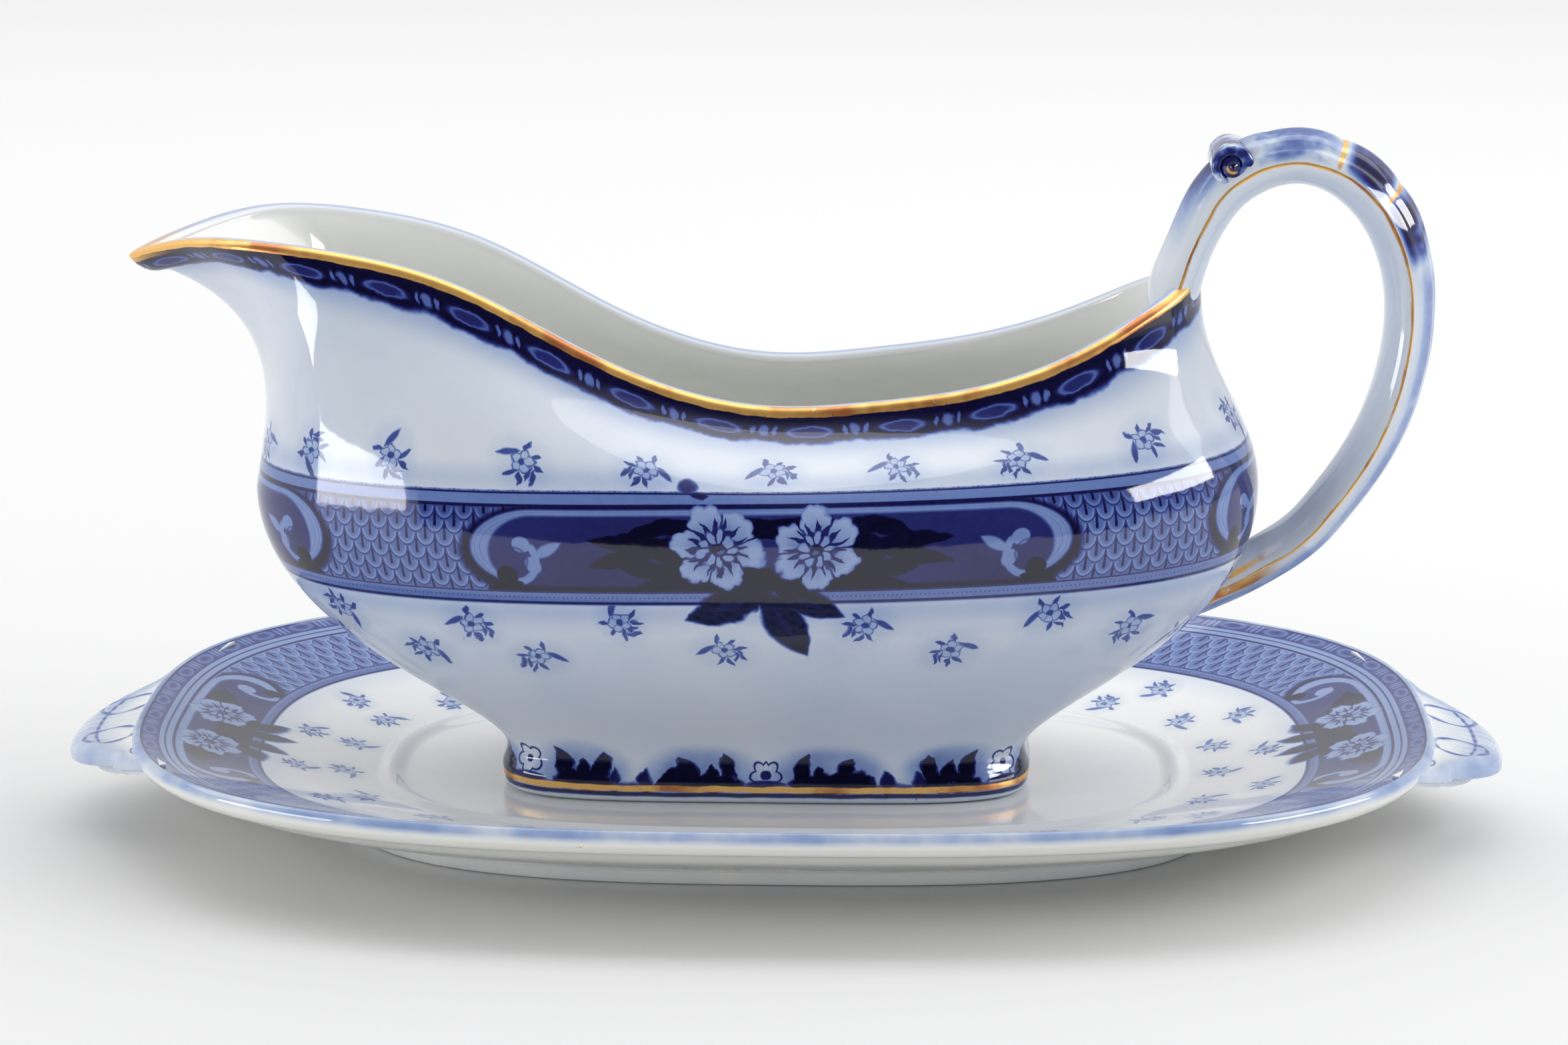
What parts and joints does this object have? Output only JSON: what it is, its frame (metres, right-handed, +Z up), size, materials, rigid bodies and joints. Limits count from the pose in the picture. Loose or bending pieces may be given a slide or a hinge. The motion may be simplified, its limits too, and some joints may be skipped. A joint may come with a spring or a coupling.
{
  "type": "gravy boat",
  "caption": "Pedestal gravy boat with a pouring spout and a looped handle, standing loose on an oblong stand with shell lugs.",
  "frame": {"origin": "middle of the stand's footprint, on the surface that the stand rests on", "axes": "+X along the stand from the boat's spout to its handle, +Y across it away from the front, +Z up"},
  "size_m": [0.23, 0.1364, 0.1129],
  "materials": {
    "stand_glaze": "glossy glaze over a printed blue border",
    "boat_glaze": "glossy glaze over a printed blue pattern, with worn gilt edges"
  },
  "bodies": {
    "stand": {"stand_plate": "stand_glaze", "stand_foot_ring": "stand_glaze", "shell_lug_handle_end": "stand_glaze", "shell_lug_spout_end": "stand_glaze"},
    "boat": {"bowl": "boat_glaze", "pedestal_foot": "boat_glaze", "handle": "boat_glaze", "thumb_scroll": "boat_glaze"}
  },
  "joints": [
    {"name": "boat_lift", "type": "slide", "parent": "stand", "child": "boat", "axis": [0, 0, 1], "range_m": [0, 0.08]}
  ]
}
